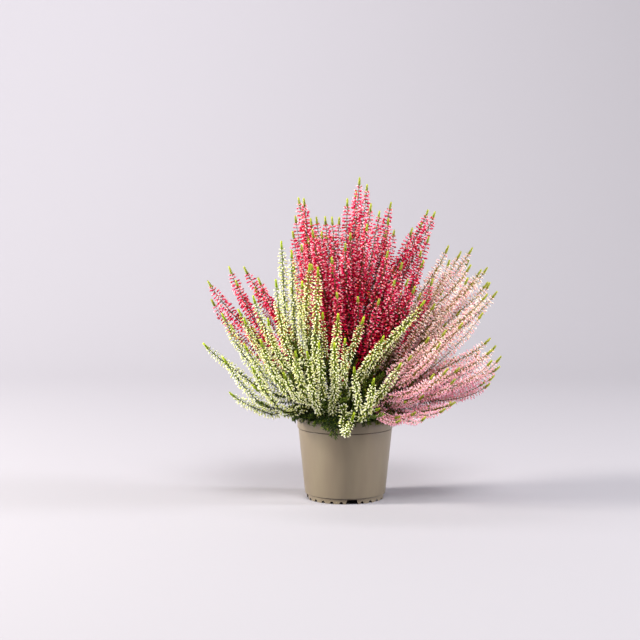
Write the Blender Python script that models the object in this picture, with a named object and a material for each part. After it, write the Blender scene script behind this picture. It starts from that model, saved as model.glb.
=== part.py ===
# Potted heather: a white, a crimson and a pink variety planted together in one 12 cm nursery pot.
# Sizes are real millimetres, turned to metres where a mesh is made. +Z is up, +X is to the right
# of the front view and -Y is the front. Plant positions are measured from the pot's own axis.
import math

import bmesh
import bpy
import numpy as np
from mathutils import Matrix, Vector

MM = 0.001
POT_AT = (-7.2, -7.5)  # the pot's axis, placed so that the whole plant's box stands over the origin
GAP = 0.3  # clearance between pieces that touch

# Pot, a thin moulded shell
RIM_R = 60.0
RIM_Z = 103.5
COLLAR_Z = 89.5
COLLAR_STEP = 1.1
WALL = 1.3
BODY_FOOT_R = 50.3
FOOT_R = 47.6
FOOT_STEP_Z = 6.8
FLOOR_Z = 7.0
POT_SIDES = 40
SLOT_TURN = 9.0  # degrees from the front to the first drain slot
SLOTS = 4
SLOT_W = 14.0
SLOT_TOP_W = 10.0
SLOT_H = 5.6
NOTCHES = 5  # small notches between two slots
NOTCH_STEP = 14.5  # degrees
NOTCH_R = 2.1
DRAIN_W = 7.0
DRAIN_FROM_R = 36.0

# Peat
SOIL_Z = 88.0
SOIL_CROWN = 1.6
SOIL_SIDES = 24
SOCKET_DEPTH = 13.0
SOCKET_LIP = 1.4  # how far a stem stands straight out of its socket

# Shoots
SEED = 12
STEM_R = 1.9
LEAFY_FROM = 12.0  # bare wood above the peat
LEAFY_PITCH = 24.0
LEAFY_REACH = 5.2
LEAFY_SHARE = 0.62  # of the way up to the spike that is leaves alone
FLORET_PITCH = 11.6  # from one whorl of three to the next, larger than life
TWIST = 60.0  # degrees from one ring to the next
DROOP = 0.24  # of a pitch, which the florets hang down and the leaves point up
CORE_R = 3.2
CORE_TAPER = 0.35  # towards the tip
TAPER = 0.3  # of the florets' reach
TIP_LEN = 13.0
FORK_AT = 0.8  # of the way up to the spike, where a side spike leaves
FORK_BARE = 16.0
FORK_LEAFY = 8.0
CURL_UP = 0.38  # how far a spike turns upwards at its tip

# How the stems share the room
FOOT_SPREAD = 0.24
FEET_MAX_R = 45.0
FEET_APART = 6.4
RIM_ROOM = 8.0  # between a low spray's florets and the rim that it crosses
WALL_ROOM = 2.8
CLEAR = 0.7  # room kept between the shoots' outlines
NEAR = 26.0
MOST_MOVE = 2.5
SAMPLE = 6.0
CURVE_STEPS = 40
SETTLE_ROUNDS = 220
FIRM_ROUNDS = 80  # the last rounds, which smooth the shoots less
EASE = 0.25
EASE_FIRM = 0.08

# Each spray: the tip of its spike, a point on it where its florets begin, and the tip of its side
# spike if it forks, each as (right, back, up) in mm from the pot's axis.
WHITE_SPRAYS = [
    ((-78, -30, 324), (-67, -28, 214), (-67, -48, 314)),
    ((-44, -52, 298), (-49, -42, 215), None),
    ((-34, -78, 296), (-31, -50, 130), None),
    ((-85, -66, 280), (-71, -46, 186), None),
    ((-113, -52, 259), (-87, -36, 190), None),
    ((-8, -88, 241), (-11, -58, 162), (20, -80, 236)),
    ((95, -72, 255), (32, -50, 177), None),
    ((45, -98, 215), (17, -60, 162), None),
    ((65, -108, 184), (32, -66, 130), None),
    ((31, -120, 168), (17, -72, 114), (10, -112, 179)),
    ((8, -96, 122), (-3, -79, 92), None),
    ((-45, -102, 198), (-29, -56, 121), (-35, -86, 205)),
    ((-14, -110, 208), (-14, -58, 119), None),
    ((-62, -106, 196), (-49, -56, 125), (-74, -104, 173)),
    ((-105, -86, 209), (-75, -48, 132), (-122, -68, 201)),
    ((-113, -100, 179), (-75, -50, 118), None),
    ((-174, -42, 201), (-103, -30, 146), (-153, -22, 234)),
    ((-141, -80, 147), (-90, -46, 115), (-150, -60, 184)),
    ((-133, -14, 239), (-96, -14, 181), None),
]
RED_SPRAYS = [
    ((18, 10, 400), (8, 8, 266), (26, -6, 392)),
    ((2, -12, 375), (-1, -4, 261), None),
    ((32, -24, 369), (18, -12, 262), (40, -34, 361)),
    ((57, 16, 369), (31, 12, 259), (50, -4, 335)),
    ((-17, -18, 353), (-9, -8, 249), (-25, 4, 352)),
    ((-41, -28, 338), (-22, -14, 237), (-43, 0, 350)),
    ((-58, 34, 374), (-29, 24, 246), (-49, 16, 374)),
    ((83, 2, 338), (43, 4, 241), None),
    ((104, 28, 359), (50, 20, 246), (113, 44, 356)),
    ((-171, 10, 272), (-104, 10, 191), (-146, 24, 288)),
    ((-126, 0, 290), (-69, 2, 204), (-108, -16, 278)),
    ((-2, -44, 322), (-1, -26, 222), (-16, -50, 306)),
    ((52, -42, 312), (30, -22, 214), (68, -34, 298)),
    ((96, -26, 300), (52, -14, 208), (84, -44, 270)),
]
PINK_SPRAYS = [
    ((128, 0, 316), (70, -4, 211), (144, 14, 308)),
    ((160, 36, 311), (84, 22, 214), None),
    ((154, -22, 294), (80, -14, 200), (168, -6, 287)),
    ((178, 22, 287), (93, 10, 197), (177, 2, 271)),
    ((173, -44, 260), (89, -24, 176), (186, -26, 262)),
    ((176, -54, 207), (98, -32, 152), None),
    ((177, -74, 196), (93, -42, 139), None),
    ((189, -42, 171), (104, -28, 127), None),
    ((122, -98, 175), (69, -54, 121), None),
    ((132, -86, 134), (76, -54, 114), None),
    ((85, -92, 122), (59, -62, 105), None),
    ((121, -78, 220), (66, -42, 148), None),
]

# For each variety: where its crown stands in the peat, its sprays, and the ones grown by rule on
# the side away from the front (how many, the arc in degrees that they fan over, the nearest and
# farthest reach of their tips and the lowest and highest); then the reach of its florets from the
# middle of a spike, and its colours.
VARIETIES = {
    "white": {
        "crown": (-18.0, -20.0),
        "sprays": WHITE_SPRAYS,
        "behind": {"count": 2, "arc": (140, 178), "reach": (80, 124), "up": (180, 262)},
        "reach": 7.4,
        "floret": (0.83, 0.84, 0.66),
        "leaf": (0.16, 0.26, 0.06),
        "tip": (0.42, 0.60, 0.12),
    },
    "red": {
        "crown": (-2.0, 20.0),
        "sprays": RED_SPRAYS,
        "behind": {"count": 7, "arc": (28, 156), "reach": (48, 138), "up": (205, 352)},
        "reach": 6.4,
        "floret": (0.72, 0.05, 0.18),
        "leaf": (0.12, 0.16, 0.06),
        "tip": (0.34, 0.52, 0.12),
    },
    "pink": {
        "crown": (24.0, -8.0),
        "sprays": PINK_SPRAYS,
        "behind": {"count": 4, "arc": (14, 60), "reach": (96, 160), "up": (160, 268)},
        "reach": 5.6,
        "floret": (0.80, 0.36, 0.45),
        "leaf": (0.20, 0.22, 0.08),
        "tip": (0.36, 0.50, 0.14),
    },
}
RIGHT, BACK, UP = np.eye(3)
LEAF, FLORET, TIP = 0, 1, 2  # a spray's material slots


def unit(v):
    return v / max(np.linalg.norm(v), 1e-9)


def clear_scene():
    for old in list(bpy.data.objects):
        bpy.data.objects.remove(old, do_unlink=True)


def material(name, colour, roughness):
    made = bpy.data.materials.new(name)
    made.use_nodes = True
    shader = made.node_tree.nodes["Principled BSDF"]
    shader.inputs["Base Color"].default_value = (*colour, 1.0)
    shader.inputs["Roughness"].default_value = roughness
    shader.inputs["Metallic"].default_value = 0.0
    return made


def new_object(name, bm, materials):
    """Turn a bmesh in millimetres round the pot's axis into an object in metres."""
    place = Matrix.Scale(MM, 4) @ Matrix.Translation((*POT_AT, 0.0))
    bmesh.ops.transform(bm, matrix=place, verts=bm.verts)
    bmesh.ops.recalc_face_normals(bm, faces=bm.faces)
    mesh = bpy.data.meshes.new(name)
    bm.to_mesh(mesh)
    bm.free()
    for one in materials:
        mesh.materials.append(one)
    made = bpy.data.objects.new(name, mesh)
    bpy.context.collection.objects.link(made)
    return made


def hide_cutter(cutter):
    cutter.hide_render = True
    cutter.display_type = "WIRE"


def cut(target, cutter):
    hide_cutter(cutter)
    modifier = target.modifiers.new("cut_" + cutter.name, "BOOLEAN")
    modifier.operation = "DIFFERENCE"
    modifier.solver = "EXACT"
    modifier.object = cutter


def turned(outline, sides):
    """Spin an outline of (radius, height) points, from axis to axis, into a closed solid."""
    bm = bmesh.new()
    verts = [bm.verts.new((r, 0.0, z)) for r, z in outline]
    edges = [bm.edges.new(pair) for pair in zip(verts, verts[1:])]
    bmesh.ops.spin(
        bm,
        geom=verts + edges,
        cent=(0, 0, 0),
        axis=(0, 0, 1),
        angle=2 * math.pi,
        steps=sides,
        use_merge=True,
    )
    bmesh.ops.remove_doubles(bm, verts=bm.verts, dist=0.001)
    return bm


def body_r(z):
    """The pot's outer radius between its foot and its collar."""
    share = (z - FOOT_STEP_Z) / (COLLAR_Z - FOOT_STEP_Z)
    return BODY_FOOT_R + share * (RIM_R - 0.3 - COLLAR_STEP - BODY_FOOT_R)


def make_pot():
    """The shell: a foot ring, a tapered body, an overhanging collar and a raised floor."""
    floor_top = FLOOR_Z + WALL
    outline = [
        (0.0, FLOOR_Z),
        (FOOT_R - WALL, FLOOR_Z),
        (FOOT_R - WALL, 0.0),
        (FOOT_R, 0.0),
        (FOOT_R + 0.9, FOOT_STEP_Z),
        (BODY_FOOT_R - 0.3, FOOT_STEP_Z),
        (body_r(FOOT_STEP_Z + 1.0), FOOT_STEP_Z + 1.0),
        (body_r(COLLAR_Z), COLLAR_Z),
        (RIM_R - 0.3, COLLAR_Z),
        (RIM_R, RIM_Z - 1.0),
        (RIM_R - 0.5, RIM_Z),
        (RIM_R - WALL, RIM_Z),
        (RIM_R - WALL - 0.3, COLLAR_Z + 1.0),
        (body_r(COLLAR_Z) - WALL, COLLAR_Z - 1.0),
        (body_r(floor_top + 1.0) - WALL, floor_top + 1.0),
        (body_r(floor_top) - WALL - 1.0, floor_top),
        (0.0, floor_top),
    ]
    plastic = material("taupe_polypropylene", (0.33, 0.28, 0.22), 0.45)
    pot = new_object("pot", turned(outline, POT_SIDES), [plastic])
    cut(pot, drain_cutter())
    pot.data.shade_smooth()
    pot.data.set_sharp_from_angle(angle=math.radians(30))
    return pot


def at_turn(degrees):
    """A turn about the pot's axis that carries the front, -Y, to the right by so many degrees."""
    return Matrix.Rotation(math.radians(degrees), 4, "Z")


def add_block(bm, corners, y_from, y_to, turn):
    """A prism whose face, (across, up) points, is swept from one radius to another and turned."""
    near = [bm.verts.new((x, -y_to, z)) for x, z in corners]
    far = [bm.verts.new((x, -y_from, z)) for x, z in corners]
    bm.faces.new(near)
    bm.faces.new(far[::-1])
    count = len(corners)
    for i in range(count):
        j = (i + 1) % count
        bm.faces.new((near[j], near[i], far[i], far[j]))
    bmesh.ops.transform(bm, matrix=at_turn(turn), verts=near + far)


def drain_cutter():
    """Four slots through the foot ring, each with a hole in the floor beside it, and small notches."""
    bm = bmesh.new()
    in_ring = FOOT_R - WALL - 2.0
    out_of_ring = FOOT_R + 3.0
    for slot in range(SLOTS):
        turn = SLOT_TURN + slot * 360.0 / SLOTS
        trapezoid = [
            (-SLOT_W / 2, -1.0),
            (SLOT_W / 2, -1.0),
            (SLOT_TOP_W / 2, SLOT_H),
            (-SLOT_TOP_W / 2, SLOT_H),
        ]
        add_block(bm, trapezoid, in_ring, out_of_ring, turn)
        half = DRAIN_W / 2
        low, high = FLOOR_Z - 1.0, FLOOR_Z + 3.0
        hole = [(-half, low), (half, low), (half, high), (-half, high)]
        add_block(bm, hole, DRAIN_FROM_R, in_ring - 0.5, turn)
        first = 360.0 / SLOTS / 2 - NOTCH_STEP * (NOTCHES - 1) / 2
        for notch in range(NOTCHES):
            right = [(NOTCH_R, -1.0), (NOTCH_R, 1.2), (0.9, 2.6)]
            arch = right + [(-x, z) for x, z in right[::-1]]
            add_block(bm, arch, in_ring, out_of_ring, turn + first + notch * NOTCH_STEP)
    return new_object("drain_cutter", bm, [])


def soil_z(x, y):
    """The height of the peat, a low dome."""
    return SOIL_Z + SOIL_CROWN * (1.0 - (x * x + y * y) / (RIM_R * RIM_R))


def make_soil(feet):
    """The peat that fills the pot, with a plain socket for every stem."""
    floor_top = FLOOR_Z + WALL
    side_low = floor_top + GAP
    edge_r = body_r(SOIL_Z) - WALL - GAP - 0.3
    outline = [
        (0.0, side_low),
        (body_r(side_low) - WALL - 1.6, side_low),
        (body_r(side_low + 1.6) - WALL - GAP - 0.15, side_low + 1.6),
        (edge_r, soil_z(edge_r, 0.0)),
        (edge_r / 2, soil_z(edge_r / 2, 0.0)),
        (0.0, soil_z(0.0, 0.0)),
    ]
    peat = material("peat", (0.045, 0.03, 0.02), 0.95)
    soil = new_object("soil", turned(outline, SOIL_SIDES), [peat])
    bm = bmesh.new()
    depth = SOCKET_DEPTH + GAP + 6.0  # from the socket's floor to well above the peat
    for x, y in feet:
        made = bmesh.ops.create_cone(
            bm,
            cap_ends=True,
            segments=3,
            radius1=STEM_R + 2 * GAP,
            radius2=STEM_R + 2 * GAP,
            depth=depth,
        )
        middle = soil_z(x, y) - SOCKET_DEPTH - GAP + depth / 2
        place = Matrix.Translation((x, y, middle)) @ Matrix.Rotation(-math.pi / 2, 4, "Z")
        bmesh.ops.transform(bm, matrix=place, verts=made["verts"])
    cut(soil, new_object("socket_cutter", bm, []))
    return soil


def hermite(a, b, along_a, along_b):
    """Points of a curve from a to b that leaves along along_a and arrives along along_b."""
    t = np.linspace(0.0, 1.0, CURVE_STEPS)[:, None]
    return (
        (2 * t**3 - 3 * t**2 + 1) * a
        + (t**3 - 2 * t**2 + t) * along_a
        + (-2 * t**3 + 3 * t**2) * b
        + (t**3 - t**2) * along_b
    )


def lengths(points):
    """How far along the line each point is."""
    return np.concatenate([[0.0], np.cumsum(np.linalg.norm(np.diff(points, axis=0), axis=1))])


def evenly(points):
    """The same line with evenly spaced points."""
    far = lengths(points)
    count = max(4, int(round(far[-1] / SAMPLE)) + 1)
    marks = np.linspace(0.0, far[-1], count)
    return np.stack([np.interp(marks, far, points[:, k]) for k in range(3)], axis=1)


def grow_behind(rule, crown, rng):
    """Sprays by rule for the side hidden from the front, in turn tall and low, as in the lists."""
    made = []
    for i in range(rule["count"]):
        share = (i + 0.5) / rule["count"]
        degrees = rule["arc"][0] + share * (rule["arc"][1] - rule["arc"][0])
        turn = math.radians(degrees + rng.uniform(-4, 4))
        high = (0.7 if i % 2 == 0 else 0.0) + rng.uniform(0.0, 0.3)
        up = rule["up"][0] + high * (rule["up"][1] - rule["up"][0])
        reach = rule["reach"][1] - high * (rule["reach"][1] - rule["reach"][0])
        tip = np.array([reach * math.cos(turn), reach * math.sin(turn), up])
        low = np.array([*(tip[:2] * 0.5 + np.array(crown) * 0.2), SOIL_Z + 0.46 * (up - SOIL_Z)])
        aside = turn + rng.choice([-1.0, 1.0]) * rng.uniform(0.12, 0.2)
        side_up = up - rng.uniform(14.0, 34.0)
        side_reach = 0.94 * reach
        side = np.array([side_reach * math.cos(aside), side_reach * math.sin(aside), side_up])
        made.append((tip, low, side))
    return made


def all_sprays():
    """Every spray: its variety and node, its tip, where its florets begin, its side tip or None."""
    rng = np.random.default_rng(SEED)
    sprays = []
    for name, variety in VARIETIES.items():
        listed = variety["sprays"] + grow_behind(variety["behind"], variety["crown"], rng)
        for number, (tip, low, side) in enumerate(listed, start=1):
            side = None if side is None else np.array(side, float)
            node = f"{name}_spray_{number:02d}"
            sprays.append((name, node, np.array(tip, float), np.array(low, float), side))
    return sprays


def place_feet(sprays):
    """Where the stems stand in the peat: near their crown, towards their lean, not touching."""
    feet = []
    for name, _, _, low, _ in sprays:
        crown = np.array(VARIETIES[name]["crown"])
        feet.append(crown + FOOT_SPREAD * (low[:2] - crown))
    feet = np.array(feet)
    for _ in range(400):
        apart = feet[:, None] - feet[None]
        far = np.linalg.norm(apart, axis=2) + np.eye(len(feet)) * 1e3
        push = np.clip(FEET_APART - far, 0.0, None) / far
        feet += 0.3 * (apart * push[:, :, None]).sum(axis=1)
        out = np.linalg.norm(feet, axis=1)
        feet *= np.minimum(1.0, FEET_MAX_R / np.maximum(out, 1e-6))[:, None]
    return feet


def over_rim(base, low, reach):
    """A point above the rim for a stem that would otherwise pass through the pot's wall, or None."""
    start, end = np.linalg.norm(base[:2]), np.linalg.norm(low[:2])
    if end <= RIM_R:
        return None
    crossing = base + (RIM_R - start) / (end - start) * (low - base)
    need = RIM_Z + reach + RIM_ROOM
    if crossing[2] >= need:
        return None
    return np.array([*(unit(crossing[:2]) * RIM_R), need])


def main_line(base, low, tip, reach):
    """A stem's curve: up from the peat, over the rim if it is low, and curving upwards to its tip."""
    first, second = np.linalg.norm(low - base), np.linalg.norm(tip - low)
    lean = unit(low - base)
    through = unit(lean * second + unit(tip - low) * first)
    over = over_rim(base, low, reach)
    if over is None:
        lower = hermite(base, low, unit(UP + 0.7 * lean) * first, through * first)
    else:
        up_leg, down_leg = np.linalg.norm(over - base), np.linalg.norm(low - over)
        level = lean + 0.15 * UP
        rise = hermite(base, over, unit(UP + 0.2 * lean) * up_leg, level * up_leg)
        fall = hermite(over, low, level * down_leg, through * down_leg)
        lower = np.concatenate([rise, fall[1:]])
    arrive = unit(unit(tip - low) + CURL_UP * UP)
    upper = hermite(low, tip, through * second, arrive * second)
    return evenly(np.concatenate([lower, upper[1:]])), lengths(lower)[-1]


def side_line(points, fork, side):
    """A side spike's curve, from its fork on the main stem to its own tip."""
    start = points[fork]
    span = np.linalg.norm(side - start)
    leave = unit(unit(points[fork + 1] - start) + 0.55 * unit(side - start)) * span
    arrive = unit(unit(side - start) + CURL_UP * UP) * span
    return evenly(hermite(start, side, leave, arrive))


def reach_along(shoot):
    """The radius of a shoot's outline at each of its points."""
    far = lengths(shoot["points"])
    full = VARIETIES[shoot["variety"]]["reach"]
    bare = LEAFY_FROM if shoot["main"] is None else FORK_BARE
    end = far[-1]
    leafy = np.interp(far, [0.0, bare * 0.6, bare + 6.0], [STEM_R, STEM_R, LEAFY_REACH])
    leafy = np.where(far > end - TIP_LEN, 0.0, leafy)
    marks = [shoot["from"] - 8.0, shoot["from"] - 1.0, end - TIP_LEN - 20.0, end - TIP_LEN, end]
    return np.maximum(leafy, np.interp(far, marks, [0.0, full, full * 0.92, full * 0.7, 1.0]))


def plan_shoots():
    """Every shoot's centre line before the shoots make room for each other, and the stems' feet."""
    sprays = all_sprays()
    feet = place_feet(sprays)
    shoots = []

    def add(name, node, points, flowers_from, main):
        shoot = {"variety": name, "node": node, "points": points, "from": flowers_from, "main": main}
        shoots.append(shoot)

    for (name, node, tip, low, side), foot in zip(sprays, feet):
        base = np.array([foot[0], foot[1], soil_z(*foot)])
        points, lower_length = main_line(base, low, tip, VARIETIES[name]["reach"])
        add(name, node, points, lower_length * LEAFY_SHARE, None)
        if side is not None:
            share = lower_length * FORK_AT / lengths(points)[-1]
            fork = int(round(share * (len(points) - 1)))
            branch = side_line(points, fork, side)
            add(name, node, branch, FORK_BARE + FORK_LEAFY, (len(shoots) - 1, fork))
    for shoot in shoots:
        shoot["reach"] = reach_along(shoot)
    return shoots, feet


def keep_clear_of_pot(points, reach, loose):
    """Push points off the pot's wall and rim, and up from the peat."""
    flat = np.linalg.norm(points[:, :2], axis=1)
    out = points[:, :2] / np.maximum(flat, 1e-6)[:, None]
    wall_r = RIM_R - WALL / 2
    dr = flat - wall_r
    dz = np.maximum(points[:, 2] - RIM_Z, 0.0)
    far = np.maximum(np.hypot(dr, dz), 1e-6)
    push = np.clip(reach + WALL / 2 + WALL_ROOM - far, 0.0, None) * loose
    points[:, :2] += out * (push * dr / far)[:, None]
    points[:, 2] += push * dz / far
    lowest = SOIL_Z + SOIL_CROWN + reach + 0.6
    lift = np.clip(lowest - points[:, 2], 0.0, None) * loose * (flat < wall_r)
    points[:, 2] += np.minimum(lift, 1.0)


def close_pairs(points, owner, place, parent):
    """Pairs of points of different shoots that may come to touch, leaving out the foot of a fork."""
    single = points.astype(np.float32)
    apart = np.linalg.norm(single[:, None] - single[None], axis=2)
    first, second = np.nonzero(np.triu(apart < NEAR, 1))
    of_second = parent[owner[first]] == owner[second]
    of_first = parent[owner[second]] == owner[first]
    branch_place = np.where(of_second, place[first], place[second])
    skip = (owner[first] == owner[second]) | ((of_second | of_first) & (branch_place < 5))
    return first[~skip], second[~skip]


def push_apart(points, reach, loose, first, second):
    """Move every pair of points that is too close, each by its share."""
    gap = points[first] - points[second]
    far = np.maximum(np.linalg.norm(gap, axis=1), 1e-6)
    over = np.clip(reach[first] + reach[second] + CLEAR - far, 0.0, None)
    push = gap / far[:, None] * (over * 0.55)[:, None]
    give = loose[first] + loose[second] + 1e-6
    moved = np.zeros_like(points)
    np.add.at(moved, first, push * (loose[first] / give)[:, None])
    np.add.at(moved, second, -push * (loose[second] / give)[:, None])
    size = np.linalg.norm(moved, axis=1)
    points += moved * np.minimum(1.0, MOST_MOVE / np.maximum(size, 1e-6))[:, None]


def settle(shoots):
    """Let the shoots push each other aside until their outlines are clear of one another."""
    starts = np.cumsum([0] + [len(s["points"]) for s in shoots])
    points = np.concatenate([s["points"] for s in shoots])
    rest = points.copy()
    reach = np.concatenate([s["reach"] for s in shoots])
    owner = np.repeat(np.arange(len(shoots)), np.diff(starts))
    place = np.concatenate([np.arange(len(s["points"])) for s in shoots])
    loose = np.clip((place - 1.0) / 3.0, 0.0, 1.0)
    parent = np.array([s["main"][0] if s["main"] else -1 for s in shoots])
    fork_at = [starts[s["main"][0]] + s["main"][1] if s["main"] else None for s in shoots]
    for turn in range(SETTLE_ROUNDS):
        if turn % 20 == 0:
            first, second = close_pairs(points, owner, place, parent)
        push_apart(points, reach, loose, first, second)
        keep_clear_of_pot(points, reach, loose)
        drift = points - rest
        ease = EASE if turn < SETTLE_ROUNDS - FIRM_ROUNDS else EASE_FIRM
        for a, b, fork in zip(starts, starts[1:], fork_at):
            part = drift[a:b]
            part[0] = 0.0 if fork is None else drift[fork]
            soft = part.copy()
            soft[1:-1] += ease * (part[:-2] - 2.0 * part[1:-1] + part[2:])
            soft[-1] += 2.0 * ease * (part[-2] - part[-1])
            drift[a:b] = soft
        points = rest + drift
    for shoot, a, b in zip(shoots, starts, starts[1:]):
        shoot["points"] = points[a:b]


def frames(points):
    """A steady pair of cross directions at each point of a line, carried along without twist."""
    along = np.gradient(points, axis=0)
    along /= np.linalg.norm(along, axis=1)[:, None]
    across = [unit(np.cross(along[0], [0.3, 1.0, 0.1]))]
    for direction in along[1:]:
        across.append(unit(across[-1] - direction * np.dot(across[-1], direction)))
    across = np.array(across)
    return across, np.cross(along, across)


def ring_plan(shoot, variety):
    """The rings up a shoot: where, how thick, how far the faces above stand out, their colour."""
    full, flowers_from = variety["reach"], shoot["from"]
    rings = []

    def add(at, core, stand, colour, upright=False):
        ring = {"at": at, "core": core, "stand": stand, "colour": colour, "upright": upright}
        rings.append(ring)

    if shoot["main"] is None:
        add(-SOCKET_DEPTH, STEM_R, 0.0, LEAF, upright=True)
        add(SOCKET_LIP, STEM_R, 0.0, LEAF, upright=True)
        count = max(1, int(round((flowers_from - LEAFY_FROM) / LEAFY_PITCH)))
        for i in range(count):
            add(LEAFY_FROM + i * (flowers_from - LEAFY_FROM) / count, STEM_R, LEAFY_REACH - STEM_R, LEAF)
    else:
        add(0.0, 0.9, 0.0, LEAF)
        add(FORK_BARE * 0.55, 1.3, 0.0, LEAF)
        add(FORK_BARE, 1.5, 0.0, LEAF)
    end = lengths(shoot["points"])[-1] - TIP_LEN
    count = max(2, int(round((end - flowers_from) / FLORET_PITCH)))
    for i in range(count):
        share = i / count
        core = CORE_R * (1.0 - CORE_TAPER * share)
        stand = (full - core * 0.6) * (1.0 - TAPER * share)
        add(flowers_from + i * (end - flowers_from) / count, core, stand, FLORET)
    add(end, CORE_R * (1.0 - CORE_TAPER), 0.0, TIP)
    return rings


def core_rings(bm, shoot, plan):
    """Three-cornered rings up the stem, each turned from the one below, and the tip."""
    points = shoot["points"]
    far = lengths(points)
    crossings = frames(points)

    def on(line, at):
        return np.array([np.interp(at, far, line[:, k]) for k in range(3)])

    rings = []
    for number, step in enumerate(plan):
        if step["upright"]:
            centre = points[0] + UP * step["at"]
            across, over, turn = RIGHT, BACK, 0.0
        else:
            centre = on(points, step["at"])
            across, over = (on(line, step["at"]) for line in crossings)
            turn = math.radians(number * TWIST)
        ring = []
        for corner in range(3):
            angle = turn + corner * 2 * math.pi / 3
            side = math.cos(angle) * across + math.sin(angle) * over
            ring.append(bm.verts.new(Vector(centre + step["core"] * side)))
        rings.append(ring)
    return rings, bm.verts.new(Vector(points[-1]))


def join_rings(bm, below, above):
    """Triangles between two rings: three stand on the lower one, three hang from the upper."""

    def length_with(shift):
        total = 0.0
        for i in range(3):
            top = above[(i + shift) % 3].co
            total += (below[i].co - top).length + (below[(i + 1) % 3].co - top).length
        return total

    shift = min(range(3), key=length_with)
    standing, hanging = [], []
    for i in range(3):
        j = (i + 1) % 3
        top = above[(i + shift) % 3]
        standing.append(bm.faces.new((below[i], below[j], top)))
        hanging.append(bm.faces.new((below[j], above[(j + shift) % 3], top)))
    return standing, hanging


def build_shoot(shoot):
    """A closed shoot: a three-sided stem whose faces are drawn out into leaves and florets."""
    variety = VARIETIES[shoot["variety"]]
    plan = ring_plan(shoot, variety)
    bm = bmesh.new()
    rings, tip = core_rings(bm, shoot, plan)
    bm.faces.new(rings[0][::-1])
    whorls = []
    for step, below, above in zip(plan, rings, rings[1:]):
        along = sum((high.co - low.co for high, low in zip(above, below)), Vector()) / 3
        standing, hanging = join_rings(bm, below, above)
        shift = along * (-DROOP if step["colour"] == FLORET else DROOP)
        whorls.append((standing, step, shift))
        for face in hanging:
            face.material_index = step["colour"]
    last = rings[-1]
    cap = [bm.faces.new((last[i], last[(i + 1) % 3], tip)) for i in range(3)]
    whorls.append((cap, plan[-1], Vector()))
    bm.normal_update()
    for faces, step, shift in whorls:
        for face in faces:
            face.material_index = step["colour"]
        if step["stand"] > 0.0:
            peaks = bmesh.ops.poke(bm, faces=faces, offset=step["stand"])["verts"]
            bmesh.ops.translate(bm, vec=shift, verts=peaks)
    return bm


def make_spray(node, shoots, materials):
    """One spray: its main shoot, joined with its side spike where it forks."""
    bodies = []
    for number, shoot in enumerate(shoots):
        bm = build_shoot(shoot)
        name = node if number == 0 else node + "_side"
        bodies.append(new_object(name, bm, materials))
    spray = bodies[0]
    if len(bodies) > 1:
        join = spray.modifiers.new("join", "BOOLEAN")
        join.operation = "UNION"
        join.solver = "EXACT"
        join.object = bodies[1]
        depsgraph = bpy.context.evaluated_depsgraph_get()
        whole = bpy.data.meshes.new_from_object(spray.evaluated_get(depsgraph))
        spray.modifiers.clear()
        spray.data = whole
        bpy.data.objects.remove(bodies[1], do_unlink=True)
    return spray


def main():
    clear_scene()
    shoots, feet = plan_shoots()
    settle(shoots)
    make_pot()
    make_soil(feet)
    for name, variety in VARIETIES.items():
        materials = [
            material(name + "_leaves", variety["leaf"], 0.6),
            material(name + "_florets", variety["floret"], 0.55),
            material(name + "_shoot_tips", variety["tip"], 0.5),
        ]
        nodes = {}
        for shoot in shoots:
            if shoot["variety"] == name:
                nodes.setdefault(shoot["node"], []).append(shoot)
        for node, members in nodes.items():
            make_spray(node, members, materials)


main()
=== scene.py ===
# Potted heather: a white, a crimson and a pink bud heather planted together in a 12 cm nursery pot.
# Sizes are real millimetres measured from the pot's axis, and turn to metres where a mesh is made.
# +Z is up, +X to the right of the front view, -Y the front.
import math

import bmesh
import bpy
import numpy as np
from mathutils import Matrix, Vector


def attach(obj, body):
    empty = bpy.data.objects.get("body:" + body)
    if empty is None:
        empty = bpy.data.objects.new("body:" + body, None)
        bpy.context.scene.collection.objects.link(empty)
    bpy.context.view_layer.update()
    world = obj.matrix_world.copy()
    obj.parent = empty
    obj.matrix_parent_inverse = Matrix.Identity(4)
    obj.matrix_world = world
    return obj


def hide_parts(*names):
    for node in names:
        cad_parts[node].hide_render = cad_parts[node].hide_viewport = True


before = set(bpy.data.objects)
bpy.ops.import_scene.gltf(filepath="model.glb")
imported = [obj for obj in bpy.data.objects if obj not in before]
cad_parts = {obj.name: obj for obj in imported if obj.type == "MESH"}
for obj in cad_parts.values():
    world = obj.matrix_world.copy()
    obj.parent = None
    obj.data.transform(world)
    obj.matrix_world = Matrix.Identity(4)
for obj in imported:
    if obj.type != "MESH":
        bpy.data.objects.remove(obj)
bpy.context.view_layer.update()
mm = 0.001
potAt = (-7.2, -7.5)  # the pot's axis in the frame
up = np.array([0.0, 0.0, 1.0])


# Camera and light

camera = {
    "at": (-38.7, -2507.5, 487.6),  # 2.5 m in front, a little above the plant
    "lookDown": 6.04,  # degrees
    "lens": 113.97,
    "sensor": 36.0,
}
studio = {
    "paper": "#A8A5AA",
    "floorDepth": 1100.0,  # from the plant back to where the paper turns up
    "sweepRadius": 1500.0,
    "sweepSteps": 24,
    "halfWidth": 4000.0,
    "toCamera": 3400.0,
    "height": 3600.0,
    "world": "#EEEDF2",
    "worldStrength": 0.06,
    "aimHeight": 170.0,  # of the point on the plant that the lamps face
}
lamps = {
    "keyLeft": {"at": (-2300, -350, 950), "size": (480, 1000), "power": 118.0, "colour": "#FFFBF4"},
    "sideRight": {"at": (2300, -150, 800), "size": (400, 1000), "power": 56.0, "colour": "#F8F9FF"},
    "overhead": {"at": (300, -1500, 2200), "size": (1100, 900), "power": 64.0, "colour": "#FFFFFF"},
    "backdropWash": {
        "at": (-1200, 900, 2300),
        "aim": (-900, 2500, 700),
        "size": (2200, 500),
        "power": 55.0,
        "colour": "#FCFAFF",
    },
}


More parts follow.
